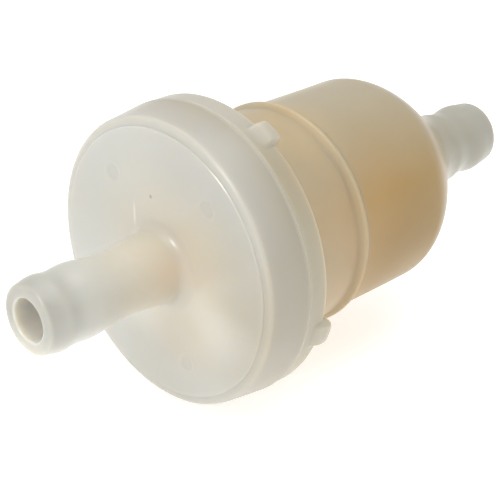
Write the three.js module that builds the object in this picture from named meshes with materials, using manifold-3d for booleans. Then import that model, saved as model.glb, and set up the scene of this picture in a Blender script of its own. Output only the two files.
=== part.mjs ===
// Inline fuel filter for 8 mm hose: a two-shell nylon housing welded round a pleated paper element.
// Millimetres. +X runs along the fuel flow from inlet to outlet, +Z is up, and the origin is on the
// axis at the weld plane, where the rear rim of the inlet cap meets the flange of the bowl.

import * as THREE from 'three';
import Module from 'manifold-3d';
import { mergeVertices } from 'three/addons/utils/BufferGeometryUtils.js';

const wasm = await Module();
wasm.setup();

// ---- Driving dimensions ---------------------------------------------------------------------

const fitGap = 0.3; // between pieces that touch
const shellSides = 56; // facets round the housing
const innerSides = 40; // facets round the element's pieces

// Housing
const bowlRadius = 13.5;
const bowlWall = 1.5;
const bowlLength = 28.2; // weld plane to the start of the shoulder
const shoulderLength = 16.3;
const shoulderReach = { start: 0.265, end: 0.355 }; // how long the shoulder stays straight at each end
const tongueWall = 2.2; // ring of the bowl that stands inside the cap
const tongueDepth = 1.5;
const beadWidth = 0.7;
const beadDepth = 1.1;
const rimWall = 2.5; // cap's wall round the weld
const capDepth = 5.7; // weld plane to the cap's front face
const capWall = 1.6;
const capDraft = 0.7; // how much narrower the cap's rim is in front
const capBevel = { across: 1.15, along: 0.25, corner: 0.4 }; // round the cap's front face
const rootFillet = 1.5; // where the inlet nipple meets the cap
const flangeDepth = 2.8; // weld plane to the flange's rear face
const flangeInset = 0.1; // flange's rim inside the cap's rim
const flangeEdge = 0.4;
const rib = { place: 13.9, width: 1.1, height: 0.6, edge: 0.25 };
const lug = {
  width: 3.0, proud: 0.75, root: 1.6, front: 1.1, behind: 1.1, corner: 0.8, angles: [28, 108, 208, 288],
};
const mark = { radius: 1.1, depth: 0.15, circle: 12, sides: 16, angles: [-39.5, 41, 160.5] };

// Hose nipples. Each wave is [share of the nipple's length from its tip, height over its radius].
const nipple = { radius: 3.9, bore: 2.5, rootFlare: 0.35, steps: 10 };
const inlet = {
  length: 18.75,
  tip: -0.3,
  waves: [[0.03, 0.2], [0.13, 0.5], [0.235, 0.32], [0.39, 0.45], [0.65, 0]],
};
const outlet = {
  length: 8.3,
  tip: 0.15,
  waves: [[0.04, 0.45], [0.19, 0.6], [0.39, 0.76], [0.7, 0.42]],
};

// Outlet seat inside the bowl
const socketDepth = 5.0;
const socketWall = 0.85;
const spigotWall = 1.1;

// Filter element
const elementPlay = 0.9; // bowl's wall to the element's end caps
const standoff = { height: 0.6, radius: 0.9, circle: 7.5, count: 3, sides: 16, sink: 0.5 };
const endPlate = 1.0;
const endRim = { wall: 0.6, height: 1.8 };
const potting = 0.6; // thickness of the adhesive that holds the pleats
const paper = { pleats: 32, fold: 4.2, thickness: 0.35, tip: 0.42 };
const core = { wall: 0.8, windowLength: 3.6, windowWidth: 2.6, post: 1.6, columns: 6 };
const seam = { width: 3.0, thickness: 0.3, inset: 1.2 };

// ---- Derived places -------------------------------------------------------------------------

const bowlBore = bowlRadius - bowlWall;
const tongueRadius = bowlBore + tongueWall;
const beadRadius = tongueRadius + fitGap; // inside of the weld bead
const capBore = beadRadius + beadWidth + fitGap;
const capRadius = capBore + rimWall;
const flangeRadius = capRadius - flangeInset;
const capInside = -capDepth + capWall;
const shoulderEnd = bowlLength + shoulderLength;
const socketRadius = nipple.bore + spigotWall + fitGap;
const rootRadius = socketRadius + socketWall;
const socketStart = shoulderEnd - socketDepth;

const endCapRadius = bowlBore - elementPlay;
const rimBore = endCapRadius - endRim.wall;
const inletPlateFront = capInside + fitGap + standoff.height;
const inletPlateRear = inletPlateFront + endPlate;
const outletPlateRear = bowlLength + fitGap;
const outletPlateFront = outletPlateRear - endPlate;
const packStart = inletPlateRear + potting + 2 * fitGap;
const packEnd = outletPlateFront - potting - 2 * fitGap;
const paperRadius = rimBore - seam.thickness - 2 * fitGap;
const paperBore = paperRadius - paper.fold;
const coreRadius = paperBore - fitGap;

// ---- Materials ------------------------------------------------------------------------------

const plastic = (name, color, roughness) =>
  new THREE.MeshStandardMaterial({ name, color, roughness, metalness: 0 });

const milkyNylon = plastic('milky_nylon', 0xd8d3c0, 0.38);
const filterPaper = plastic('filter_paper', 0xd9a35e, 0.95);
const endPlastic = plastic('end_plastic', 0xe2ddcd, 0.5);
const adhesive = plastic('adhesive', 0xc98b3c, 0.45);
const weldNylon = plastic('weld_nylon', 0xe6e0cf, 0.4);

// ---- Solid helpers --------------------------------------------------------------------------

// A closed outline of [along, radius] points, turned round the flow axis.
function turned(outline, sides = shellSides) {
  const profile = [...outline, outline[0]].map(([along, radius]) => new THREE.Vector2(radius, along));
  return new THREE.LatheGeometry(profile, sides).rotateZ(-Math.PI / 2);
}

// An outline drawn across the axis, with its first coordinate towards +Z and its second towards -Y,
// pulled along the axis from one place to another.
function pulled(shape, from, to) {
  const solid = new THREE.ExtrudeGeometry(shape, { depth: to - from, bevelEnabled: false });
  const axes = new THREE.Matrix4().makeBasis(
    new THREE.Vector3(0, 0, 1), new THREE.Vector3(0, -1, 0), new THREE.Vector3(1, 0, 0));
  return solid.applyMatrix4(axes).translate(from, 0, 0);
}

function toManifold(geometry) {
  const bare = geometry.clone();
  bare.deleteAttribute('normal');
  bare.deleteAttribute('uv');
  const merged = mergeVertices(bare, 1e-5);
  return new wasm.Manifold(new wasm.Mesh({
    numProp: 3,
    vertProperties: new Float32Array(merged.attributes.position.array),
    triVerts: new Uint32Array(merged.index.array),
  }));
}

function fromManifold(solid) {
  const mesh = solid.getMesh();
  const geometry = new THREE.BufferGeometry();
  geometry.setAttribute('position', new THREE.BufferAttribute(mesh.vertProperties, 3));
  geometry.setIndex(new THREE.BufferAttribute(mesh.triVerts, 1));
  return geometry;
}

const joined = (base, pieces) =>
  fromManifold(pieces.reduce((solid, piece) => solid.add(toManifold(piece)), toManifold(base)));

const cut = (base, tools) =>
  fromManifold(tools.reduce((solid, tool) => solid.subtract(toManifold(tool)), toManifold(base)));

// Turns a piece that stands on the +Z side round the axis by a clock angle, +Z towards -Y.
const clocked = (geometry, degrees) => geometry.rotateX(THREE.MathUtils.degToRad(degrees));

const range = (count) => Array.from({ length: count }, (_, index) => index);

// ---- Outlines -------------------------------------------------------------------------------

// Quarter of an ellipse between two corners, bulging towards the corner named by `turn`.
function rounded([x0, r0], [x1, r1], turn, steps = 4) {
  return range(steps + 1).map((step) => {
    const angle = (Math.PI / 2) * (step / steps);
    const [early, late] = [1 - Math.cos(angle), Math.sin(angle)];
    return turn === 'along-first'
      ? [x0 + (x1 - x0) * late, r0 + (r1 - r0) * early]
      : [x0 + (x1 - x0) * early, r0 + (r1 - r0) * late];
  });
}

// The outside of a hose nipple as [distance from its tip, radius], with soft barbs.
function nippleOutline({ length, tip, waves }, rootRadius) {
  const { radius, steps } = nipple;
  const curve = new THREE.SplineCurve([
    ...waves.map(([share, height]) => new THREE.Vector2(share * length, radius + height)),
    new THREE.Vector2(length, rootRadius),
  ]);
  return [[0, radius + tip], ...curve.getPoints(steps).map(({ x, y }) => [x, y])];
}

// The bowl's shoulder: a soft S from one radius to another, inside and outside alike.
function shoulderOutline([x0, r0], [x1, r1], steps) {
  const length = x1 - x0;
  const curve = new THREE.CubicBezierCurve(
    new THREE.Vector2(x0, r0), new THREE.Vector2(x0 + shoulderReach.start * length, r0),
    new THREE.Vector2(x1 - shoulderReach.end * length, r1), new THREE.Vector2(x1, r1));
  return curve.getPoints(steps).map(({ x, y }) => [x, y]);
}

// ---- Housing --------------------------------------------------------------------------------

function inletCap() {
  const tip = -capDepth - inlet.length;
  const flare = nipple.radius + nipple.rootFlare;
  const frontRadius = capRadius - capDraft;
  const neck = { ...inlet, length: inlet.length - rootFillet };
  const fillet = rounded([-capDepth - rootFillet, flare], [-capDepth, flare + rootFillet], 'along-first');
  const bevelEnd = -capDepth + capBevel.along;
  const corner = rounded(
    [bevelEnd, frontRadius - capBevel.corner], [bevelEnd + capBevel.corner, frontRadius], 'across-first', 3);
  const shell = turned([
    [tip, nipple.bore],
    ...nippleOutline(neck, flare).map(([depth, radius]) => [tip + depth, radius]),
    ...fillet.slice(1),
    [-capDepth, frontRadius - capBevel.across],
    ...corner,
    [0, capRadius],
    [0, capBore],
    [capInside, capBore],
    [capInside, nipple.bore],
  ]);
  return cut(shell, mark.angles.map(mouldingMark));
}

// A shallow round recess that an ejector pin leaves in the cap's front face.
function mouldingMark(angle) {
  const pin = new THREE.CylinderGeometry(mark.radius, mark.radius, 2 * mark.depth, mark.sides);
  return clocked(pin.rotateZ(Math.PI / 2).translate(-capDepth, 0, mark.circle), angle);
}

function filterBowl() {
  const tip = shoulderEnd + outlet.length;
  const ribStart = rib.place - rib.width / 2;
  const ribEnd = rib.place + rib.width / 2;
  const ribTop = bowlRadius + rib.height;
  const nippleSide = nippleOutline(outlet, rootRadius).map(([depth, radius]) => [tip - depth, radius]);
  const shoulder = shoulderOutline([bowlLength, bowlRadius], [shoulderEnd, rootRadius], 8);
  const funnel = shoulderOutline([bowlLength, bowlBore], [socketStart, socketRadius], 6);
  const shell = turned([
    [-tongueDepth, bowlBore],
    [-tongueDepth, tongueRadius],
    [fitGap, tongueRadius],
    [fitGap, flangeRadius],
    [flangeDepth - flangeEdge, flangeRadius],
    [flangeDepth, flangeRadius - flangeEdge],
    [flangeDepth, bowlRadius + flangeEdge],
    [flangeDepth + flangeEdge, bowlRadius],
    [ribStart - rib.edge, bowlRadius],
    [ribStart, ribTop],
    [ribEnd, ribTop],
    [ribEnd + rib.edge, bowlRadius],
    ...shoulder.slice(0, -1),
    ...nippleSide.reverse(),
    [tip, nipple.bore],
    [shoulderEnd, nipple.bore],
    [shoulderEnd, socketRadius],
    ...funnel.reverse(),
  ]);
  return joined(shell, lug.angles.map(flangeLug));
}

// A rounded block on the flange's rim that the weld fixture turns the bowl by.
function flangeLug(angle) {
  const top = flangeRadius + lug.proud;
  const bottom = flangeRadius - lug.root;
  const half = lug.width / 2;
  const shape = new THREE.Shape();
  shape.moveTo(bottom, -half);
  shape.lineTo(top - lug.corner, -half);
  shape.absarc(top - lug.corner, -half + lug.corner, lug.corner, -Math.PI / 2, 0);
  shape.absarc(top - lug.corner, half - lug.corner, lug.corner, 0, Math.PI / 2);
  shape.lineTo(bottom, half);
  shape.closePath();
  return clocked(pulled(shape, lug.front, flangeDepth + lug.behind), angle);
}

const weldBead = () => turned([
  [-beadDepth, beadRadius],
  [-beadDepth, beadRadius + beadWidth],
  [0, beadRadius + beadWidth],
  [0, beadRadius],
]);

// ---- Filter element -------------------------------------------------------------------------

// The inlet end of the pleats is closed by a plain cup, held off the cap by small feet.
function inletEndCup() {
  const cup = turned([
    [inletPlateFront, 0],
    [inletPlateFront, endCapRadius],
    [inletPlateRear + endRim.height, endCapRadius],
    [inletPlateRear + endRim.height, rimBore],
    [inletPlateRear, rimBore],
    [inletPlateRear, 0],
  ], innerSides);
  return joined(cup, range(standoff.count).map(standoffFoot));
}

function standoffFoot(index) {
  const height = standoff.height + standoff.sink;
  const foot = new THREE.CylinderGeometry(standoff.radius, standoff.radius, height, standoff.sides);
  foot.rotateZ(Math.PI / 2).translate(inletPlateFront + standoff.sink - height / 2, 0, standoff.circle);
  return clocked(foot, (360 / standoff.count) * index);
}

// The outlet end has a spigot that carries clean fuel into the socket of the bowl.
const outletEndCap = () => turned([
  [outletPlateFront, nipple.bore],
  [outletPlateFront, rimBore],
  [outletPlateFront - endRim.height, rimBore],
  [outletPlateFront - endRim.height, endCapRadius],
  [outletPlateRear, endCapRadius],
  [outletPlateRear, nipple.bore + spigotWall],
  [shoulderEnd - fitGap, nipple.bore + spigotWall],
  [shoulderEnd - fitGap, nipple.bore],
], innerSides);

const pottingRing = (from) => turned([
  [from, paperBore],
  [from, rimBore - fitGap],
  [from + potting, rimBore - fitGap],
  [from + potting, paperBore],
], innerSides);

// One side of the folded paper: a flat-topped zigzag between two radii.
function zigzag(outer, inner, outerHalf, innerHalf) {
  const step = Math.PI / paper.pleats;
  const at = (radius, angle) => new THREE.Vector2(radius * Math.cos(angle), radius * Math.sin(angle));
  return range(paper.pleats).flatMap((pleat) => {
    const [tip, valley] = [2 * pleat * step, (2 * pleat + 1) * step];
    return [
      at(outer, tip - outerHalf / outer), at(outer, tip + outerHalf / outer),
      at(inner, valley - innerHalf / inner), at(inner, valley + innerHalf / inner),
    ];
  });
}

function pleatedPaper() {
  const { thickness, tip } = paper;
  const inside = tip - thickness + 0.01;
  const shape = new THREE.Shape(zigzag(paperRadius, paperBore + thickness, tip, inside));
  shape.holes.push(new THREE.Path(zigzag(paperRadius - thickness, paperBore, inside, tip)));
  return pulled(shape, packStart, packEnd);
}

// A strip bonded along the outside of the pack, over the fold where the paper's ends meet.
function seamStrip() {
  const inner = paperRadius + fitGap;
  const half = seam.width / 2 / inner;
  const shape = new THREE.Shape();
  shape.absarc(0, 0, inner + seam.thickness, -half, half);
  shape.absarc(0, 0, inner, half, -half, true);
  return pulled(shape, packStart + endRim.height + seam.inset, packEnd - endRim.height - seam.inset);
}

// A moulded cage inside the pleats, with rows of windows between its posts.
function supportCore() {
  const [start, end] = [inletPlateRear + fitGap, outletPlateFront - fitGap];
  const tube = turned([
    [start, coreRadius - core.wall], [start, coreRadius], [end, coreRadius], [end, coreRadius - core.wall],
  ], innerSides);
  const rows = Math.floor((end - start - core.post) / (core.windowLength + core.post));
  const margin = (end - start - rows * (core.windowLength + core.post) + core.post) / 2;
  const windows = range(rows).map((row) =>
    start + margin + row * (core.windowLength + core.post) + core.windowLength / 2);
  return cut(tube, windows.flatMap(windowRing));
}

// Windows come in opposite pairs, so one bar through the whole core cuts two.
function windowRing(place) {
  return range(core.columns / 2).map((pair) => {
    const bar = new THREE.BoxGeometry(core.windowLength, core.windowWidth, 2 * coreRadius + 2);
    return clocked(bar, (360 / core.columns) * pair).translate(place, 0, 0);
  });
}

// ---- Assembly -------------------------------------------------------------------------------

function piece(name, geometry, material) {
  const mesh = new THREE.Mesh(geometry, material);
  mesh.name = name;
  return mesh;
}

const housing = new THREE.Group();
housing.add(
  piece('inlet_cap', inletCap(), milkyNylon),
  piece('filter_bowl', filterBowl(), milkyNylon),
  piece('weld_bead', weldBead(), weldNylon),
);

const element = new THREE.Group();
element.add(
  piece('pleated_paper', pleatedPaper(), filterPaper),
  piece('seam_strip', seamStrip(), adhesive),
  piece('inlet_end_cup', inletEndCup(), endPlastic),
  piece('outlet_end_cap', outletEndCap(), endPlastic),
  piece('inlet_potting', pottingRing(inletPlateRear + fitGap), adhesive),
  piece('outlet_potting', pottingRing(outletPlateFront - fitGap - potting), adhesive),
  piece('support_core', supportCore(), endPlastic),
);

const filter = new THREE.Group();
filter.add(housing, element);

export default filter;
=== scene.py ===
"""Inline fuel filter for small engines: two milky nylon shells round a pleated paper element.

The frame is the CAD's: +X along the fuel flow, +Z up, and the origin on the axis where the cap's rear rim
meets the flange. Blender's lengths are metres. The sizes and outlines below are millimetres, and MM scales
them when a mesh or a tint is made. Each piece is a fine mesh that stands for one CAD node.
"""

import math

import bmesh
import bpy
import numpy as np
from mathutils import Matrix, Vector, noise


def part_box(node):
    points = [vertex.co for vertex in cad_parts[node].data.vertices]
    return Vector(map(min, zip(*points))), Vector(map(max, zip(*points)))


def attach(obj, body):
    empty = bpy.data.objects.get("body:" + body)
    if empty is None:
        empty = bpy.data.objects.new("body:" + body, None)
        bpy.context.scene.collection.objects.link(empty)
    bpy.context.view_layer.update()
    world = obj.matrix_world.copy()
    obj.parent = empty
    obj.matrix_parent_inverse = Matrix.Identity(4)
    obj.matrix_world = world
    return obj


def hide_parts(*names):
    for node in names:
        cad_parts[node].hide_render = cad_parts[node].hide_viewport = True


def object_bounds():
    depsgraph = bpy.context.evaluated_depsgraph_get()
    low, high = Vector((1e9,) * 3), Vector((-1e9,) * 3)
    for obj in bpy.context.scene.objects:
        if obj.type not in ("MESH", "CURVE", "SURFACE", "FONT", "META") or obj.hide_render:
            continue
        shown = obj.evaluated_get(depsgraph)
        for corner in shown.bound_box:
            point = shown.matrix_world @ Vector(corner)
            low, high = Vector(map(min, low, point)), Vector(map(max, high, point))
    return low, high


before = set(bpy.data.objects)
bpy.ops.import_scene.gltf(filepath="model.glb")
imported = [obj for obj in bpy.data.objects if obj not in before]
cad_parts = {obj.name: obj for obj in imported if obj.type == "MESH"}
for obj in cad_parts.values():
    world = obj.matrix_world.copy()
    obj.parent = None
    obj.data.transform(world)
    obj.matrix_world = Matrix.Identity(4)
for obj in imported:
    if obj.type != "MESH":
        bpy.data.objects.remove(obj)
CAD_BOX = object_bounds()

MM = 0.001
BODY = "root"

# ---- Sizes, in millimetres ----

# The boxes of the CAD nodes, as lowest and highest corners.
CAP_LOW, CAP_HIGH = (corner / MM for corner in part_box("inlet_cap"))
BOWL_LOW, BOWL_HIGH = (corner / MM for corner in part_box("filter_bowl"))
PAPER_LOW, PAPER_HIGH = (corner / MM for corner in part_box("pleated_paper"))
CUP_LOW, CUP_HIGH = (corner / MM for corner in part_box("inlet_end_cup"))
OUTLET_LOW, OUTLET_HIGH = (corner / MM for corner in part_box("outlet_end_cap"))
CORE_LOW, CORE_HIGH = (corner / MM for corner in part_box("support_core"))
BEAD_LOW, BEAD_HIGH = (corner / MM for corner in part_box("weld_bead"))
SEAM_LOW, SEAM_HIGH = (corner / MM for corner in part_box("seam_strip"))

# Hose nipples. Their waves are (share of the length from the tip, height over the neck).
NIPPLE_BORE = 2.5
NIPPLE_RADIUS = 3.9
ROOT_FLARE = 0.35
ROOT_FILLET = 1.5

# Cap, and the moulding marks on its face by circle and clock angle.
CAP_RADIUS = CAP_HIGH.z
CAP_FACE = -5.7
CAP_WALL = 1.6
CAP_BORE = 15.5
CAP_DRAFT = 0.7
BEVEL_ACROSS, BEVEL_ALONG = 1.15, 0.25
STEP_HEIGHT = 0.12
INLET_TIP = CAP_LOW.x
INLET_WAVES = ((0.03, 0.2), (0.13, 0.5), (0.235, 0.32), (0.39, 0.45), (0.65, 0))
INLET_END = -0.3

MARK_RADIUS, MARK_CIRCLE, MARK_DEPTH, MARK_SOFT = 1.1, 12.0, 0.06, 0.26
MARK_ANGLES = (-39.5, 41, 160.5)

# Bowl, from its tongue and flange to the outlet.
BOWL_RADIUS = 13.5
BOWL_WALL = 1.5
BOWL_LENGTH = 28.2
SHOULDER_END = 44.5
SHOULDER_REACH = 0.265, 0.355
SOCKET_START, SOCKET_RADIUS = 39.5, 3.9
ROOT_RADIUS = 4.75
TONGUE_RADIUS = 14.2
FLANGE_RADIUS = 17.9
FLANGE_REAR = 2.8
SEAM_GAP = 0.06
RIB_START, RIB_END, RIB_HEIGHT, RIB_SPREAD = 13.35, 14.45, 0.6, 0.35
OUTLET_TIP = BOWL_HIGH.x
OUTLET_WAVES = ((0.04, 0.45), (0.19, 0.6), (0.39, 0.76), (0.7, 0.42))
OUTLET_END = 0.15

# Lugs on the flange, by clock angle.
LUG_ANGLES = (28, 108, 208, 288)
LUG_HALF, LUG_PROUD, LUG_BEHIND, LUG_CROWN = 1.5, 0.75, 1.1, 0.12
LUG_FRONT, LUG_FULL = 0.8, 2.6
LUG_ROOT, LUG_SOFT, LUG_CLEAR, LUG_PAST = 1.6, 0.7, 0.25, 0.5

# Weld bead. Its lumps are (share of its width, count round the ring, start in radians).
BEAD_WALL, BEAD_SOFT = 0.7, 0.25
BEAD_LUMPS = ((0.12, 23, 0), (0.08, 41, 1))

# Paper. Its pleats sway by sines of the row: (most, radians to the row, start in radians).
PLEATS, PAPER_THICKNESS, PAPER_FOLD, FOLD_SHARPNESS = 32, 0.35, 4.2, 0.985
PAPER_SWAYS = ((0.06, 0.9, 0), (0.05, 0.37, 2))
SWAY_WAVES, SWAY_TWIST = 5, 0.2

# Seam strip, potting, end caps and cage.
STRIP_HALF, STRIP_GAP = 1.5, 0.3
STRIP_NARROWING, STRIP_END = 0.1, 0.6
POTTING_SOFT, POTTING_DIP, POTTING_RIPPLE = 0.1, 0.16, 0.03
END_DISC, END_RIM = 1.0, 0.6
FOOT_CIRCLE, FOOT_RADIUS, FOOT_HEIGHT, FOOT_COUNT = 7.5, 0.9, 0.6, 3
FOOT_SOFT, FOOT_MARGIN = 0.25, 0.4
OUTLET_DISC, SPIGOT_WALL = 27.5, 1.1
CAGE_WALL, CAGE_RING, CAGE_EDGE = 0.8, 1.6, 0.12
WINDOW_LENGTH, WINDOW_HALF, WINDOW_COLUMNS = 3.6, 1.3, 6
ROW_SHARES = (0, 0.12, 0.35, 0.65, 0.88, 1)
WINDOW_SHARES, POST_SHARES = (-1, -0.7, -0.25, 0.25, 0.7, 1), (0.2, 0.5, 0.8)

# Unevenness of the moulded walls, how near counts as on a face, and the steps of the meshes.
WAVER_AMOUNT, WAVER_SIZE = 0.05, 7
NEAR_FACE, ON_FACE = 0.05, 0.02
COARSE, FINE, LUG_STEP, BEAD_STEP, POTTING_STEP = 0.6, 0.14, 0.15, 0.2, 0.25

# Camera, world and floor. Lens and sensor are millimetres, and the other lengths are metres.
CAMERA_PLACE = Vector((-97.86, -105.27, 69.47)) * MM
CAMERA_TARGET = Vector((3.4, -5.32, 0.49)) * MM
CAMERA_LENS, CAMERA_SENSOR = 98.75, 36.0
CAMERA_NEAR, CAMERA_FAR = 0.01, 20
WORLD_LIGHT, FLOOR_GLOW = 0.66, 0.3
FLOOR_HALF, FLOOR_GAP = 3.0, 0.0005


# ---- Outlines: lists of (along, radius) in millimetres ----


def smooth(value, low, high):
    """0 below low, 1 above high, with a soft step between them."""
    share = np.clip((np.asarray(value, float) - low) / (high - low), 0, 1)
    return share * share * (3 - 2 * share)


def filleted(corners, turns=6):
    """A closed outline of (along, radius, fillet) corners, each fillet drawn as an arc."""
    points = []
    for index, (x, r, fillet) in enumerate(corners):
        here = np.array((x, r))
        if fillet == 0:
            points.append(here)
            continue
        before = np.array(corners[index - 1][:2]) - here
        after = np.array(corners[(index + 1) % len(corners)][:2]) - here
        before, after = before / np.linalg.norm(before), after / np.linalg.norm(after)
        half = math.acos(np.clip(before @ after, -1, 1)) / 2
        reach = fillet / math.tan(half)
        middle = here + (before + after) / np.linalg.norm(before + after) * fillet / math.sin(half)
        start, end = here + before * reach - middle, here + after * reach - middle
        sweep = math.pi - 2 * half
        for step in range(turns + 1):
            share = step / turns
            early = math.sin((1 - share) * sweep) / math.sin(sweep)
            late = math.sin(share * sweep) / math.sin(sweep)
            points.append(middle + start * early + end * late)
    return points


def divided(points, step):
    """The same closed outline with no stretch longer than step(along, radius)."""
    result = []
    for index, here in enumerate(points):
        there = points[(index + 1) % len(points)]
        middle = (here + there) / 2
        count = max(1, math.ceil(np.linalg.norm(there - here) / step(*middle)))
        result += [here + (there - here) * part / count for part in range(count)]
    return result


def spline(points, steps):
    """A Catmull-Rom curve through points, ends included."""
    points = [np.array(point, float) for point in points]
    padded = [points[0], *points, points[-1]]
    curve = []
    for step in range(steps + 1):
        place = (len(points) - 1) * step / steps
        index = min(int(place), len(points) - 2)
        t = place - index
        p0, p1, p2, p3 = padded[index : index + 4]
        v1, v2 = (p2 - p0) / 2, (p3 - p1) / 2
        curve.append(
            (2 * p1 - 2 * p2 + v1 + v2) * t**3 + (-3 * p1 + 3 * p2 - 2 * v1 - v2) * t**2 + v1 * t + p1
        )
    return curve


def bezier(p0, p1, p2, p3, steps):
    """A cubic Bezier curve, ends included."""
    p0, p1, p2, p3 = (np.array(point, float) for point in (p0, p1, p2, p3))
    shares = [step / steps for step in range(steps + 1)]
    return [
        p0 * (1 - t) ** 3 + p1 * 3 * (1 - t) ** 2 * t + p2 * 3 * (1 - t) * t**2 + p3 * t**3
        for t in shares
    ]


def nipple_side(length, end, waves, root, steps=72):
    """The outside of a hose nipple as (distance from its tip, radius), from the tip to its root."""
    curve = spline(
        [(share * length, NIPPLE_RADIUS + height) for share, height in waves] + [(length, root)], steps
    )
    flat = NIPPLE_RADIUS + end
    deep, first = curve[0]
    tip = [
        (deep * (1 - math.cos(angle)), flat + (first - flat) * math.sin(angle))
        for angle in np.linspace(0, math.pi / 2, 7)[:-1]
    ]
    return tip + [tuple(point) for point in curve]


def shoulder(x0, r0, x1, r1, steps=40):
    """The bowl's soft S from one radius to another."""
    length = x1 - x0
    first, last = (share * length for share in SHOULDER_REACH)
    return bezier((x0, r0), (x0 + first, r0), (x1 - last, r1), (x1, r1), steps)


def plain(points):
    """Points as corners without a fillet."""
    return [(x, r, 0) for x, r in points]


def cap_outline():
    """Half section of the cap: nipple, soft root, face, bevel, drafted side and hollow."""
    front = CAP_RADIUS - CAP_DRAFT
    flare = NIPPLE_RADIUS + ROOT_FLARE
    side = nipple_side(CAP_FACE - ROOT_FILLET - INLET_TIP, INLET_END, INLET_WAVES, flare)
    root = [
        (CAP_FACE - ROOT_FILLET * (1 - math.sin(angle)), flare + ROOT_FILLET * (1 - math.cos(angle)))
        for angle in np.linspace(0, math.pi / 2, 9)[1:]
    ]
    inside = CAP_FACE + CAP_WALL
    return filleted(
        [
            (INLET_TIP, NIPPLE_BORE, 0.3),
            *plain((INLET_TIP + depth, radius) for depth, radius in side),
            *plain(root),
            (CAP_FACE, front - BEVEL_ACROSS, 0.08),
            (CAP_FACE + STEP_HEIGHT, front - BEVEL_ACROSS + STEP_HEIGHT, 0.05),
            (CAP_FACE + BEVEL_ALONG, front, 0.55),
            (0, CAP_RADIUS, 0.12),
            (0, CAP_BORE, 0.15),
            (inside, CAP_BORE, 0.5),
            (inside, NIPPLE_BORE, 0.4),
        ]
    )


def bowl_outline():
    """Half section of the bowl: tongue, flange, neck, rib, shoulder, nipple and spigot socket."""
    bore = BOWL_RADIUS - BOWL_WALL
    side = nipple_side(OUTLET_TIP - SHOULDER_END, OUTLET_END, OUTLET_WAVES, ROOT_RADIUS, 48)
    return filleted(
        [
            (BOWL_LOW.x, bore, 0.2),
            (BOWL_LOW.x, TONGUE_RADIUS, 0.2),
            (SEAM_GAP, TONGUE_RADIUS, 0.1),
            (SEAM_GAP, FLANGE_RADIUS, 0.15),
            (FLANGE_REAR, FLANGE_RADIUS, 0.45),
            (FLANGE_REAR, BOWL_RADIUS, 0.7),
            (RIB_START - RIB_SPREAD, BOWL_RADIUS, 0.7),
            (RIB_START + RIB_SPREAD, BOWL_RADIUS + RIB_HEIGHT, 0.45),
            (RIB_END - RIB_SPREAD, BOWL_RADIUS + RIB_HEIGHT, 0.45),
            (RIB_END + RIB_SPREAD, BOWL_RADIUS, 0.7),
            *plain(shoulder(BOWL_LENGTH, BOWL_RADIUS, SHOULDER_END, ROOT_RADIUS)[:-1]),
            *plain((OUTLET_TIP - depth, radius) for depth, radius in reversed(side)),
            (OUTLET_TIP, NIPPLE_BORE, 0.3),
            (SHOULDER_END, NIPPLE_BORE, 0.2),
            (SHOULDER_END, SOCKET_RADIUS, 0.2),
            *plain(reversed(shoulder(BOWL_LENGTH, bore, SOCKET_START, SOCKET_RADIUS, 24))),
        ]
    )


# ---- Meshes ----


def clock_angles(count, centres=(), reach=0, step=1):
    """Evenly spaced clock angles in degrees, with closer ones around some centres."""
    angles = {round(360 * index / count, 3) for index in range(count)}
    offsets = np.arange(-reach, reach + step / 2, step)
    for centre in centres:
        angles |= {round((centre + offset) % 360, 3) for offset in offsets}
    return np.radians(sorted(angles))


def spun(outline, angles):
    """Places (ring, outline, 3) of a closed outline turned round the flow axis, +Z towards -Y."""
    along, radius = np.array(outline).T
    return np.stack(
        [
            np.broadcast_to(along, (len(angles), len(along))),
            -np.outer(np.sin(angles), radius),
            np.outer(np.cos(angles), radius),
        ],
        axis=-1,
    )


def linked(name, content):
    """A new object of the scene that shows a mesh, a light or a camera."""
    thing = bpy.data.objects.new(name, content)
    bpy.context.scene.collection.objects.link(thing)
    return thing


def closed_mesh(name, places, wrap_rings=True):
    """One mesh from a grid of places in millimetres whose outlines close on themselves."""
    rings, count = places.shape[:2]
    index = np.arange(rings * count).reshape(rings, count)
    last = rings if wrap_rings else rings - 1
    faces = []
    for ring in range(last):
        here, there = index[ring], index[(ring + 1) % rings]
        faces += list(zip(here, np.roll(here, -1), np.roll(there, -1), there))
    if not wrap_rings:
        faces += [tuple(index[0][::-1]), tuple(index[-1])]
    mesh = bpy.data.meshes.new(name)
    corners = (places.reshape(-1, 3) * MM).tolist()
    mesh.from_pydata(corners, [], [tuple(map(int, face)) for face in faces])
    mesh.validate()
    return linked(name, mesh)


def outward(piece):
    """Turns a closed mesh's faces outwards and shades them smooth."""
    work = bmesh.new()
    work.from_mesh(piece.data)
    bmesh.ops.remove_doubles(work, verts=work.verts, dist=1e-7)
    bmesh.ops.recalc_face_normals(work, faces=work.faces)
    if work.calc_volume(signed=True) < 0:
        bmesh.ops.reverse_faces(work, faces=work.faces)
    work.to_mesh(piece.data)
    work.free()
    piece.data.shade_smooth()
    return piece


def placed(piece, node, slot, *materials):
    """Rides on the body, stands for its CAD node and takes its materials."""
    for material in materials:
        piece.data.materials.append(material)
    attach(piece, BODY)
    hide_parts(node)
    return piece


def from_spot(places, circle, angle):
    """Distance across the axis from each place to a spot at a clock angle."""
    turn = math.radians(angle)
    dy, dz = places[..., 1] + circle * math.sin(turn), places[..., 2] - circle * math.cos(turn)
    return np.hypot(dy, dz)


# ---- Housing ----


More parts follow.
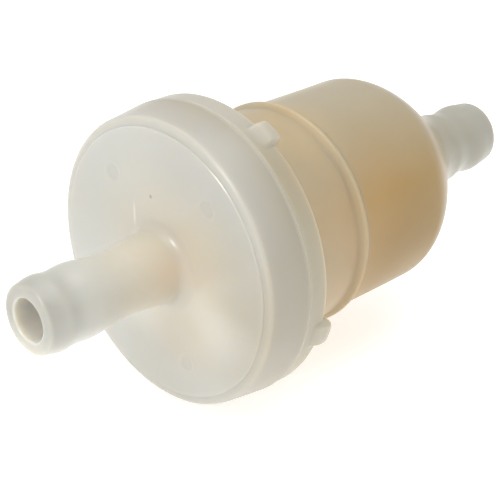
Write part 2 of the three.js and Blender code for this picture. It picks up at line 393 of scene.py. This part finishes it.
def sink_marks(places):
    """Shallow round marks of ejector pins in the cap's front face, each with a fine raised lip."""
    face = np.abs(places[..., 0] - CAP_FACE) < ON_FACE
    for angle in MARK_ANGLES:
        distance = from_spot(places, MARK_CIRCLE, angle)
        sunk = 1 - smooth(distance, MARK_RADIUS - MARK_SOFT, MARK_RADIUS + MARK_SOFT / 2)
        lip = np.exp(-(((distance - MARK_RADIUS - MARK_SOFT / 2) / MARK_SOFT) ** 2))
        places[..., 0] += face * (MARK_DEPTH * sunk - MARK_DEPTH / 3 * lip)


def raise_lugs(places):
    """Rounded lugs on the flange: the rim moves out and the flange's rear face moves back."""
    along = places[..., 0].copy()
    radius = np.hypot(places[..., 1], places[..., 2])
    angle = np.degrees(np.arctan2(-places[..., 1], places[..., 2]))
    outer = smooth(radius, FLANGE_RADIUS - LUG_ROOT, FLANGE_RADIUS - LUG_ROOT + LUG_SOFT)
    outer = outer * (along > SEAM_GAP + LUG_CLEAR) * (along < FLANGE_REAR + LUG_PAST)
    rear = smooth(along, FLANGE_REAR - LUG_SOFT, FLANGE_REAR)
    rim = smooth(radius, FLANGE_RADIUS - LUG_SOFT, FLANGE_RADIUS)
    front = smooth(along, LUG_FRONT, LUG_FULL)
    grown = np.ones_like(radius)
    for lug in LUG_ANGLES:
        off = np.radians((angle - lug + 180) % 360 - 180) * FLANGE_RADIUS
        inside = 1 - smooth(np.abs(off), LUG_HALF - LUG_SOFT / 2, LUG_HALF + LUG_SOFT / 2)
        crown = 1 - LUG_CROWN * (off / LUG_HALF) ** 2
        places[..., 0] += LUG_BEHIND * inside * outer * rear
        grown += LUG_PROUD * crown * inside * outer * rim * front / radius
    places[..., 1] *= grown
    places[..., 2] *= grown


def waver(places, seed):
    """The slight unevenness of a moulded wall, as a slow change in radius."""
    flat = places.reshape(-1, 3)
    radius = np.hypot(flat[:, 1], flat[:, 2])
    moves = np.array([noise.noise(Vector(point) / WAVER_SIZE + Vector((seed, 0, 0))) for point in flat])
    grown = 1 + WAVER_AMOUNT * moves / np.maximum(radius, 1)
    flat[:, 1] *= grown
    flat[:, 2] *= grown


def inlet_cap(nylon):
    """The cap, with a finer mesh where the moulding marks are."""

    def step(along, radius):
        on_face = abs(along - CAP_FACE) < NEAR_FACE
        marked = abs(radius - MARK_CIRCLE) < MARK_RADIUS + 2 * MARK_SOFT
        return FINE if on_face and marked else COARSE

    angles = clock_angles(240, MARK_ANGLES, reach=8, step=0.6)
    places = spun(divided(cap_outline(), step), angles)
    sink_marks(places)
    waver(places, seed=1)
    piece = outward(closed_mesh("inlet_cap_shell", places))
    return placed(piece, "inlet_cap", "milky_nylon", nylon)


def filter_bowl(nylon):
    """The bowl, with a finer mesh on the flange, where the lugs rise."""
    behind, below = 0.1, 0.2

    def step(along, radius):
        flange = along < FLANGE_REAR + behind and radius > FLANGE_RADIUS - LUG_ROOT - below
        return LUG_STEP if flange else COARSE

    angles = clock_angles(180, LUG_ANGLES, reach=7, step=0.7)
    places = spun(divided(bowl_outline(), step), angles)
    raise_lugs(places)
    waver(places, seed=2)
    piece = outward(closed_mesh("filter_bowl_shell", places))
    return placed(piece, "filter_bowl", "milky_nylon", nylon)


def weld_bead(nylon):
    """The ring of melted nylon between cap and bowl, a little uneven in width."""
    middle = (BEAD_LOW.x + BEAD_HIGH.x) / 2
    outer = BEAD_HIGH.z
    inner = outer - BEAD_WALL
    corners = [
        (BEAD_LOW.x, inner, BEAD_SOFT),
        (BEAD_LOW.x, outer, BEAD_SOFT),
        (BEAD_HIGH.x, outer, BEAD_SOFT),
        (BEAD_HIGH.x, inner, BEAD_SOFT),
    ]
    places = spun(divided(filleted(corners), lambda *_: BEAD_STEP), clock_angles(240))
    turns = np.arctan2(places[..., 1], places[..., 2])
    width = np.ones_like(turns)
    for share, count, start in BEAD_LUMPS:
        width += share * np.sin(count * turns + start)
    widest = 1 + sum(share for share, _, _ in BEAD_LUMPS)
    places[..., 0] = middle + (places[..., 0] - middle) * width / widest
    return placed(outward(closed_mesh("weld_bead_ring", places)), "weld_bead", "weld_nylon", nylon)


# ---- Filter element ----


def pleat_line(steps, inner, outer):
    """The middle of the folded paper round the ring and its normals, at steps counted in pleats."""
    wave = np.cos(2 * math.pi * steps)
    height = np.arcsin(FOLD_SHARPNESS * wave) / math.asin(FOLD_SHARPNESS)
    rounding = 0.5 + 0.5 * height
    turns = 2 * math.pi * steps / PLEATS
    radius = inner + PAPER_THICKNESS / 2 + rounding * (outer - inner - PAPER_THICKNESS)
    line = np.stack([radius * np.cos(turns), radius * np.sin(turns)], axis=-1)
    along = np.roll(line, -1, axis=0) - np.roll(line, 1, axis=0)
    along /= np.linalg.norm(along, axis=1, keepdims=True)
    return line, np.stack([along[:, 1], -along[:, 0]], axis=-1)


def pleated_paper(paper):
    """Paper folded into a star, with round folds and a little hand-made unevenness."""
    samples, rows = 20, 40
    outer = PAPER_HIGH.z
    steps = np.arange(PLEATS * samples) / samples
    line, normal = pleat_line(steps, outer - PAPER_FOLD, outer)
    grids = []
    for side in (1, -1):
        ring = line + side * normal * PAPER_THICKNESS / 2
        for row in (range(rows + 1) if side == 1 else range(rows, -1, -1)):
            x = PAPER_LOW.x + (PAPER_HIGH.x - PAPER_LOW.x) * row / rows
            bend = sum(most * math.sin(row * turn + start) for most, turn, start in PAPER_SWAYS)
            fade = math.sin(math.pi * row / rows)
            round_ring = np.sin(2 * math.pi * steps * SWAY_WAVES / PLEATS + row * SWAY_TWIST)
            sway = bend * fade * round_ring / outer
            cosine, sine = np.cos(sway), np.sin(sway)
            z = ring[:, 0] * cosine - ring[:, 1] * sine
            y = ring[:, 0] * sine + ring[:, 1] * cosine
            grids.append(np.stack([np.full_like(z, x), -y, z], axis=-1))
    piece = outward(closed_mesh("pleated_paper_fold", np.stack(grids, axis=1)))
    return placed(piece, "pleated_paper", "filter_paper", paper)


def seam_strip(adhesive):
    """A strip over the paper's seam, thinner along its edges and a little narrower at its ends."""
    inner, outer = PAPER_HIGH.z + STRIP_GAP, SEAM_HIGH.z
    half = STRIP_HALF / inner
    rows = np.linspace(SEAM_LOW.x, SEAM_HIGH.x, 60)
    angles = np.linspace(-half, half, 17)
    outline = [(outer - 0.1 * (angle / half) ** 4, angle) for angle in angles]
    outline += [(inner + 0.04 * (angle / half) ** 4, angle) for angle in angles[::-1]]
    radius, angle = np.array(outline).T
    from_end = np.minimum(rows - rows[0], rows[-1] - rows)
    width = 1 - STRIP_NARROWING + STRIP_NARROWING * smooth(from_end, 0, STRIP_END)
    swing = np.outer(width * (1 + 0.03 * np.sin(rows * 1.7)), angle)
    along = np.broadcast_to(rows[:, None], swing.shape)
    places = np.stack([along, -radius * np.sin(swing), radius * np.cos(swing)], axis=-1)
    piece = outward(closed_mesh("seam_strip_tape", places, wrap_rings=False))
    return placed(piece, "seam_strip", "adhesive", adhesive)


def cup_outline(front):
    """Half section of the inlet cup: a disc with a rim round the pleats."""
    rim_bore = CUP_HIGH.z - END_RIM
    rear = front + END_DISC
    centre = 0.02
    return filleted(
        [
            (front, centre, 0),
            (front, CUP_HIGH.z, 0.35),
            (CUP_HIGH.x, CUP_HIGH.z, 0.2),
            (CUP_HIGH.x, rim_bore, 0.2),
            (rear, rim_bore, 0.3),
            (rear, centre, 0),
        ]
    )


def inlet_end_cup(plastic):
    """The closed end of the element, with feet that hold it off the cap."""
    front = CUP_LOW.x + FOOT_HEIGHT
    angles = [360 / FOOT_COUNT * index for index in range(FOOT_COUNT)]

    def step(along, radius):
        on_face = abs(along - front) < NEAR_FACE
        footed = abs(radius - FOOT_CIRCLE) < FOOT_RADIUS + FOOT_MARGIN
        return FINE if on_face and footed else COARSE

    places = spun(divided(cup_outline(front), step), clock_angles(180, angles, reach=10, step=0.8))
    face = np.abs(places[..., 0] - front) < ON_FACE
    for angle in angles:
        distance = from_spot(places, FOOT_CIRCLE, angle)
        raised = 1 - smooth(distance, FOOT_RADIUS - FOOT_SOFT, FOOT_RADIUS)
        places[..., 0] -= face * FOOT_HEIGHT * raised
    return placed(outward(closed_mesh("inlet_cup", places)), "inlet_end_cup", "end_plastic", plastic)


def outlet_end_cap(plastic):
    """The open end of the element: a rimmed disc with a spigot that fits the bowl's socket."""
    rim_bore = OUTLET_HIGH.z - END_RIM
    rear = OUTLET_DISC + END_DISC
    spigot = NIPPLE_BORE + SPIGOT_WALL
    outline = filleted(
        [
            (OUTLET_DISC, NIPPLE_BORE, 0.4),
            (OUTLET_DISC, rim_bore, 0.3),
            (OUTLET_LOW.x, rim_bore, 0.2),
            (OUTLET_LOW.x, OUTLET_HIGH.z, 0.2),
            (rear, OUTLET_HIGH.z, 0.35),
            (rear, spigot, 0.6),
            (OUTLET_HIGH.x, spigot, 0.25),
            (OUTLET_HIGH.x, NIPPLE_BORE, 0.2),
        ]
    )
    places = spun(divided(outline, lambda *_: COARSE), clock_angles(180))
    piece = outward(closed_mesh("outlet_cap_spigot", places))
    return placed(piece, "outlet_end_cap", "end_plastic", plastic)


def potting_ring(node, adhesive, towards):
    """A ring of cured adhesive whose open face climbs a little where it wets the walls."""
    low, high = (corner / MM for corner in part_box(node))
    inner, outer = PAPER_HIGH.z - PAPER_FOLD, high.z
    sides = [(low.x, inner), (low.x, outer), (high.x, outer), (high.x, inner)]
    corners = [(x, r, POTTING_SOFT) for x, r in sides]
    places = spun(divided(filleted(corners), lambda *_: POTTING_STEP), clock_angles(180))
    radius = np.hypot(places[..., 1], places[..., 2])
    turns = np.arctan2(places[..., 1], places[..., 2])
    open_side = high.x if towards > 0 else low.x
    free = np.abs(places[..., 0] - open_side) < NEAR_FACE
    middle = (inner + outer) / 2
    dip = POTTING_DIP * (1 - ((radius - middle) / (outer - middle)) ** 2)
    ripple = POTTING_RIPPLE * np.sin(PLEATS * turns)
    places[..., 0] -= towards * free * np.clip(dip + ripple, 0, 1)
    return placed(outward(closed_mesh(node + "_ring", places)), node, "adhesive", adhesive)


def cage_stations(length):
    """Distances from the cage's inlet end: that end, the steps of each row of windows, and the far end."""
    pitch = WINDOW_LENGTH + CAGE_RING
    rows = int((length - CAGE_RING) // pitch)
    margin = (length - rows * pitch + CAGE_RING) / 2
    starts = [margin + row * pitch for row in range(rows)]
    return [0.0, *(start + WINDOW_LENGTH * share for start in starts for share in ROW_SHARES), length]


def cage_angles(outer):
    """Clock angles in radians: the steps across each window, then across the post beside it."""
    half = math.asin(WINDOW_HALF / outer)
    gap = 2 * math.pi / WINDOW_COLUMNS - 2 * half
    angles = []
    for column in range(WINDOW_COLUMNS):
        centre = 2 * math.pi * column / WINDOW_COLUMNS
        angles += [centre + half * share for share in WINDOW_SHARES]
        angles += [centre + half + gap * share for share in POST_SHARES]
    return angles


def cage_wall(stations, angles, outer):
    """The cage's outer surface without its windows."""
    work = bmesh.new()
    grid = [
        [
            work.verts.new(Vector((CORE_LOW.x + x, -outer * math.sin(a), outer * math.cos(a))) * MM)
            for a in angles
        ]
        for x in stations
    ]
    column = len(WINDOW_SHARES) + len(POST_SHARES)
    for i in range(len(stations) - 1):
        in_row = 1 <= i < len(stations) - 2 and i % len(ROW_SHARES) != 0
        for j in range(len(angles)):
            in_window = j % column < len(WINDOW_SHARES) - 1
            if in_row and in_window:
                continue
            k = (j + 1) % len(angles)
            work.faces.new((grid[i][j], grid[i][k], grid[i + 1][k], grid[i + 1][j]))
    mesh = bpy.data.meshes.new("support_cage")
    bmesh.ops.recalc_face_normals(work, faces=work.faces)
    work.to_mesh(mesh)
    work.free()
    mesh.shade_smooth()
    return mesh


def support_core(plastic):
    """A moulded cage: rows of windows with round corners between its rings and posts."""
    outer = CORE_HIGH.z
    mesh = cage_wall(cage_stations(CORE_HIGH.x - CORE_LOW.x), cage_angles(outer), outer)
    piece = linked("support_cage", mesh)
    solid = piece.modifiers.new("wall", "SOLIDIFY")
    solid.thickness, solid.offset = CAGE_WALL * MM, -1
    bevel = piece.modifiers.new("edges", "BEVEL")
    bevel.width, bevel.segments, bevel.limit_method = CAGE_EDGE * MM, 2, "ANGLE"
    soft = piece.modifiers.new("soft", "SUBSURF")
    soft.levels = soft.render_levels = 1
    return placed(piece, "support_core", "end_plastic", plastic)


# ---- Tints of the nylon, with painted light and shade ----

# Tints are (millimetres along the axis, colour), in the direction of the flow.
CAP_TINT = [
    (-25, (0.345, 0.35, 0.33)),
    (-22, (0.445, 0.445, 0.41)),
    (-16, (0.52, 0.515, 0.47)),
    (-12, (0.52, 0.51, 0.46)),
    (-6.5, (0.53, 0.5, 0.43)),
    (-5.66, (0.465, 0.465, 0.43)),
    (-5.45, (0.44, 0.435, 0.4)),
    (-4, (0.43, 0.41, 0.36)),
    (-2, (0.4, 0.375, 0.31)),
    (-0.6, (0.37, 0.34, 0.275)),
    # the pale last stops are a painted light line along the cap's rear edge and on the weld bead
    (-0.3, (0.44, 0.405, 0.335)),
    (0, (0.44, 0.405, 0.335)),
]
BOWL_TINT = [
    (-2, (0.4, 0.375, 0.3)),
    # the paler stops at 3 and 5 mm are painted light that fills the shade in the neck's hollow by the
    # flange
    (3, (0.42, 0.385, 0.3)),
    (5, (0.46, 0.375, 0.25)),
    (12.5, (0.43, 0.32, 0.185)),
    # the paler, greyer stops at 13.6 and 14.2 mm are a painted highlight along the rib
    (13.6, (0.405, 0.33, 0.215)),
    (14.2, (0.405, 0.33, 0.215)),
    (15.5, (0.42, 0.29, 0.135)),
    (20, (0.405, 0.27, 0.11)),
    (30, (0.37, 0.275, 0.14)),
    (35, (0.37, 0.305, 0.19)),
    (39, (0.37, 0.33, 0.25)),
    (43.5, (0.355, 0.34, 0.28)),
    (45.5, (0.365, 0.355, 0.3)),
    (53, (0.36, 0.355, 0.31)),
]
# painted sky reflection: the upper side of the bowl is paler and greyer
BOWL_PAINTED_SKY, PAINTED_SKY_LOW, PAINTED_SKY_HIGH = (0.38, 0.335, 0.245), 5, 14

# Patches are (spot, inner, outer, squash, share, colour), with the first three in millimetres. Most are
# painted light and shade; the flow line, the speck and the lug patches are the nylon's own colour.
ROUND = (1, 1, 1)
# painted light: the inside of the nipples' bores is coloured pale against the shade that falls there
BORE_PAINTED_LIGHT = ((0, 0, 0), 2.5, 2.75, (0, 1, 1), 1, (0.6, 0.6, 0.56))
CAP_PAINTED_LIGHT_AND_MARKS = [
    # painted warm glow on the face round the nipple's root, and painted shade on the top of the face
    ((-5.7, 0.0, 3.0), 3, 13, ROUND, 0.7, (0.51, 0.485, 0.41)),
    ((-5.7, -6.0, 11.0), 1, 10, ROUND, 0.7, (0.42, 0.41, 0.37)),
    # painted warm glow in the middle of the face, and painted shade on the side towards -Y
    ((-5.7, -4.5, -1.0), 3, 14, ROUND, 0.85, (0.56, 0.505, 0.405)),
    ((-3.0, -17.5, -3.0), 3, 15, ROUND, 0.85, (0.375, 0.345, 0.28)),
    # painted shading of the lower face, painted fill light on the nipple's underside, and painted warm
    # glow in its root towards -Y and on the face below it
    ((-5.7, 1.0, -9.0), 1, 8, ROUND, 0.5, (0.44, 0.435, 0.4)),
    ((-16.0, 0.0, -5.5), 0.5, 6, (0.1, 0.3, 1), 0.7, (0.62, 0.615, 0.56)),
    ((-7.6, -4.2, 1.0), 0.5, 3.6, ROUND, 0.55, (0.58, 0.48, 0.37)),
    ((-5.7, -3.0, -7.0), 1, 8, ROUND, 0.75, (0.455, 0.415, 0.345)),
    # a pale flow line and a dark speck in the face
    ((-5.7, 4.2, 5.0), 0.05, 0.3, (1, 1, 0.14), 0.4, (0.8, 0.76, 0.66)),
    ((-5.7, 1.3, 8.0), 0.1, 0.3, ROUND, 0.6, (0.2, 0.14, 0.1)),
]
BOWL_PAINTED_LIGHT = [
    # painted light on the top of the flange and the top of the neck before the rib, and painted shade on
    # the lower side over the paper
    ((1.4, 0.0, 18.0), 5, 14, (3, 1, 1), 0.9, (0.44, 0.42, 0.365)),
    ((11.0, -3.0, 13.0), 3, 9, ROUND, 0.8, (0.44, 0.35, 0.215)),
    ((24.0, -12.0, -6.0), 3, 14, ROUND, 0.8, (0.29, 0.19, 0.065)),
]
CLOUD_TINT = (0.95, 0.91, 0.82)
SCATTER_COLOR = (1.0, 0.8, 0.55)


def lug_glow(angle):
    """The paler nylon at one lug."""
    turn = math.radians(angle)
    spot = FLANGE_REAR, -FLANGE_RADIUS * math.sin(turn), FLANGE_RADIUS * math.cos(turn)
    return spot, 1, 2.4, ROUND, 0.6, (0.43, 0.415, 0.365)


# ---- Materials ----


class Shader:
    """A small helper that adds nodes to one material and links them."""

    def __init__(self, name):
        self.material = bpy.data.materials.new(name)
        self.material.use_nodes = True
        self.tree = self.material.node_tree
        self.surface = self.tree.nodes["Principled BSDF"]
        self.places = self.add("ShaderNodeTexCoord").outputs["Object"]

    def add(self, kind, **settings):
        """A new node with some of its settings."""
        node = self.tree.nodes.new(kind)
        for name, value in settings.items():
            setattr(node, name, value)
        return node

    def link(self, source, target):
        self.tree.links.new(source, target)

    def set(self, **values):
        """Inputs of the surface, by name with underscores for spaces."""
        for name, value in values.items():
            self.surface.inputs[name.replace("_", " ")].default_value = value

    def noise(self, scale, detail=3, rough=0.5):
        """Smooth noise around 0.5, with scale in patches to the metre."""
        node = self.add("ShaderNodeTexNoise")
        node.inputs["Scale"].default_value = scale
        node.inputs["Detail"].default_value = detail
        node.inputs["Roughness"].default_value = rough
        self.link(self.places, node.inputs["Vector"])
        return node.outputs["Fac"]

    def ramp(self, value, *stops):
        """A colour that follows a value through (place, colour) stops."""
        node = self.add("ShaderNodeValToRGB")
        elements = node.color_ramp.elements
        while len(elements) < len(stops):
            elements.new(0.5)
        for element, (place, color) in zip(elements, stops):
            element.position = place
            element.color = (*color, 1)
        self.link(value, node.inputs["Fac"])
        return node.outputs["Color"]

    def range(self, value, low, high, to_low, to_high):
        """A value moved from one range into another and held at its ends."""
        node = self.add("ShaderNodeMapRange")
        limits = (("From Min", low), ("From Max", high), ("To Min", to_low), ("To Max", to_high))
        for name, number in limits:
            node.inputs[name].default_value = number
        self.link(value, node.inputs["Value"])
        return node.outputs["Result"]

    def mix(self, fac, a, b, blend="MIX"):
        """Colour a with a share of colour b. Each may be a number, a colour or a socket."""
        node = self.add("ShaderNodeMix", data_type="RGBA", blend_type=blend)
        for value, socket in ((fac, node.inputs[0]), (a, node.inputs[6]), (b, node.inputs[7])):
            if isinstance(value, (int, float)):
                socket.default_value = value
            elif isinstance(value, tuple):
                socket.default_value = (*value, 1)
            else:
                self.link(value, socket)
        return node.outputs[2]

    def axis(self, name):
        """One coordinate of the place in metres."""
        node = self.add("ShaderNodeSeparateXYZ")
        self.link(self.places, node.inputs[0])
        return node.outputs[name]

    def near(self, spot, inner, outer, squash=(1, 1, 1), most=1):
        """most within inner millimetres of a spot, falling softly to 0 at outer millimetres."""
        away = self.add("ShaderNodeVectorMath", operation="SUBTRACT")
        self.link(self.places, away.inputs[0])
        away.inputs[1].default_value = [part * MM for part in spot]
        squashed = self.add("ShaderNodeVectorMath", operation="MULTIPLY")
        self.link(away.outputs[0], squashed.inputs[0])
        squashed.inputs[1].default_value = squash
        length = self.add("ShaderNodeVectorMath", operation="LENGTH")
        self.link(squashed.outputs[0], length.inputs[0])
        fall = self.add("ShaderNodeMapRange", interpolation_type="SMOOTHSTEP")
        limits = (("From Min", inner * MM), ("From Max", outer * MM), ("To Min", most), ("To Max", 0))
        for name, number in limits:
            fall.inputs[name].default_value = number
        self.link(length.outputs["Value"], fall.inputs["Value"])
        return fall.outputs["Result"]

    def bump(self, height, strength, distance):
        """Fine relief in the surface, with distance in metres."""
        node = self.add("ShaderNodeBump")
        node.inputs["Strength"].default_value = strength
        node.inputs["Distance"].default_value = distance
        self.link(height, node.inputs["Height"])
        self.link(node.outputs["Normal"], self.surface.inputs["Normal"])


def nylon(name, stops, painted_light_and_marks=(), painted_sky=None, specular=0.5):
    """Milky natural nylon, tinted by what lies behind it and by painted light and shade.

    stops and painted_light_and_marks are lists like the ones above, and painted_sky is the colour of a
    painted sky reflection on the upper side.
    """
    shader = Shader(name)
    low, high = stops[0][0], stops[-1][0]
    along = shader.range(shader.axis("X"), low * MM, high * MM, 0, 1)
    tint = shader.ramp(along, *[((x - low) / (high - low), color) for x, color in stops])
    if painted_sky:
        upper = shader.range(shader.axis("Z"), PAINTED_SKY_LOW * MM, PAINTED_SKY_HIGH * MM, 0, 1)
        tint = shader.mix(upper, tint, painted_sky)
    for spot, inner, outer, squash, share, color in (*painted_light_and_marks, BORE_PAINTED_LIGHT):
        tint = shader.mix(shader.near(spot, inner, outer, squash, share), tint, color)
    cloud = shader.range(shader.noise(90, detail=2), 0.35, 0.65, 0, 0.3)
    shaded = shader.mix(cloud, tint, CLOUD_TINT, "MULTIPLY")
    shader.link(shaded, shader.surface.inputs["Base Color"])
    rough = shader.range(shader.noise(300, detail=2), 0.3, 0.7, 0.29, 0.33)
    shader.link(rough, shader.surface.inputs["Roughness"])
    shader.bump(shader.noise(700, detail=2), strength=0.05, distance=0.0001)
    shader.set(Subsurface_Weight=1.0, Subsurface_Radius=SCATTER_COLOR, Subsurface_Scale=0.0025)
    shader.set(IOR=1.5, Specular_IOR_Level=specular)
    return shader.material


def filter_paper():
    """Amber resin-treated paper with a fibrous grain."""
    shader = Shader("filter_paper")
    fibres = shader.noise(2500, detail=6, rough=0.7)
    color = shader.ramp(fibres, (0.3, (0.62, 0.32, 0.09)), (0.7, (0.86, 0.52, 0.2)))
    shader.link(color, shader.surface.inputs["Base Color"])
    shader.link(shader.range(fibres, 0.3, 0.7, 0.85, 0.98), shader.surface.inputs["Roughness"])
    shader.bump(fibres, strength=0.5, distance=0.0002)
    shader.set(Subsurface_Weight=0.6, Subsurface_Radius=(1.0, 0.6, 0.3), Subsurface_Scale=0.001)
    return shader.material


def end_plastic():
    """Cream moulded plastic of the end caps and the cage."""
    shader = Shader("end_plastic")
    cloud = shader.noise(300)
    color = shader.ramp(cloud, (0.3, (0.72, 0.67, 0.55)), (0.7, (0.82, 0.78, 0.67)))
    shader.link(color, shader.surface.inputs["Base Color"])
    shader.link(shader.range(cloud, 0.3, 0.7, 0.45, 0.6), shader.surface.inputs["Roughness"])
    shader.bump(shader.noise(1800), strength=0.15, distance=0.0001)
    shader.set(Subsurface_Weight=0.5, Subsurface_Radius=SCATTER_COLOR, Subsurface_Scale=0.002)
    return shader.material


def cured_adhesive():
    """Brown, slightly glossy adhesive."""
    shader = Shader("adhesive")
    cloud = shader.noise(400)
    color = shader.ramp(cloud, (0.3, (0.45, 0.22, 0.05)), (0.7, (0.62, 0.34, 0.1)))
    shader.link(color, shader.surface.inputs["Base Color"])
    shader.link(shader.range(cloud, 0.3, 0.7, 0.25, 0.4), shader.surface.inputs["Roughness"])
    shader.bump(shader.noise(600, detail=2), strength=0.3, distance=0.0002)
    shader.set(Subsurface_Weight=0.4, Subsurface_Radius=(1.0, 0.5, 0.2), Subsurface_Scale=0.0015)
    return shader.material


# ---- Stage ----


def aimed(thing, place, target):
    """Puts a light or a camera in its place and points it at a target."""
    thing.location = place
    thing.rotation_euler = (Vector(target) - Vector(place)).to_track_quat("-Z", "Y").to_euler()


def camera():
    """The photo's camera, from the fit of the outline."""
    data = bpy.data.cameras.new("camera")
    data.lens, data.sensor_width = CAMERA_LENS, CAMERA_SENSOR
    data.clip_start, data.clip_end = CAMERA_NEAR, CAMERA_FAR
    eye = linked("camera", data)
    aimed(eye, CAMERA_PLACE, CAMERA_TARGET)
    bpy.context.scene.camera = eye


def floor():
    """A pale floor just under the filter, bright enough to vanish into the background."""
    height = CAD_BOX[0].z - FLOOR_GAP
    corners = [(-1, -1), (1, -1), (1, 1), (-1, 1)]
    mesh = bpy.data.meshes.new("floor")
    mesh.from_pydata([(x * FLOOR_HALF, y * FLOOR_HALF, height) for x, y in corners], [], [(0, 1, 2, 3)])
    ground = linked("floor", mesh)
    shader = Shader("floor")
    shader.set(Base_Color=(0.95, 0.95, 0.95, 1), Roughness=0.9)
    shader.set(Emission_Color=(1, 1, 1, 1), Emission_Strength=FLOOR_GLOW)
    mesh.materials.append(shader.material)


def area_light(name, place, target, size, power, shadow):
    """A round area light, with its size in metres and its power in watts."""
    data = bpy.data.lights.new(name, "AREA")
    data.shape, data.size, data.energy, data.use_shadow = "DISK", size, power, shadow
    aimed(linked(name, data), place, target)


def studio():
    """A white world, a small key light for the highlights and a wide soft light from above."""
    world = bpy.data.worlds.new("studio")
    world.use_nodes = True
    background = world.node_tree.nodes["Background"]
    background.inputs["Color"].default_value = (1, 1, 1, 1)
    background.inputs["Strength"].default_value = WORLD_LIGHT
    bpy.context.scene.world = world
    bpy.context.scene.view_settings.view_transform = "Standard"
    area_light("key", (-0.29, -0.06, 0.27), (-0.005, 0, 0), size=0.045, power=0.7, shadow=False)
    area_light("top", (0, 0, 0.7), (0, 0, 0), size=0.8, power=2.6, shadow=True)


camera()
studio()
floor()

cap_nylon = nylon("cap_nylon", CAP_TINT, CAP_PAINTED_LIGHT_AND_MARKS)
bowl_painted_light_and_lugs = BOWL_PAINTED_LIGHT + [lug_glow(lug) for lug in LUG_ANGLES]
bowl_nylon = nylon("bowl_nylon", BOWL_TINT, bowl_painted_light_and_lugs, BOWL_PAINTED_SKY, specular=0.3)
plastic = end_plastic()
adhesive = cured_adhesive()

inlet_cap(cap_nylon)
filter_bowl(bowl_nylon)
weld_bead(nylon("weld_nylon", CAP_TINT))
pleated_paper(filter_paper())
seam_strip(adhesive)
inlet_end_cup(plastic)
outlet_end_cap(plastic)
potting_ring("inlet_potting", adhesive, 1)
potting_ring("outlet_potting", adhesive, -1)
support_core(plastic)
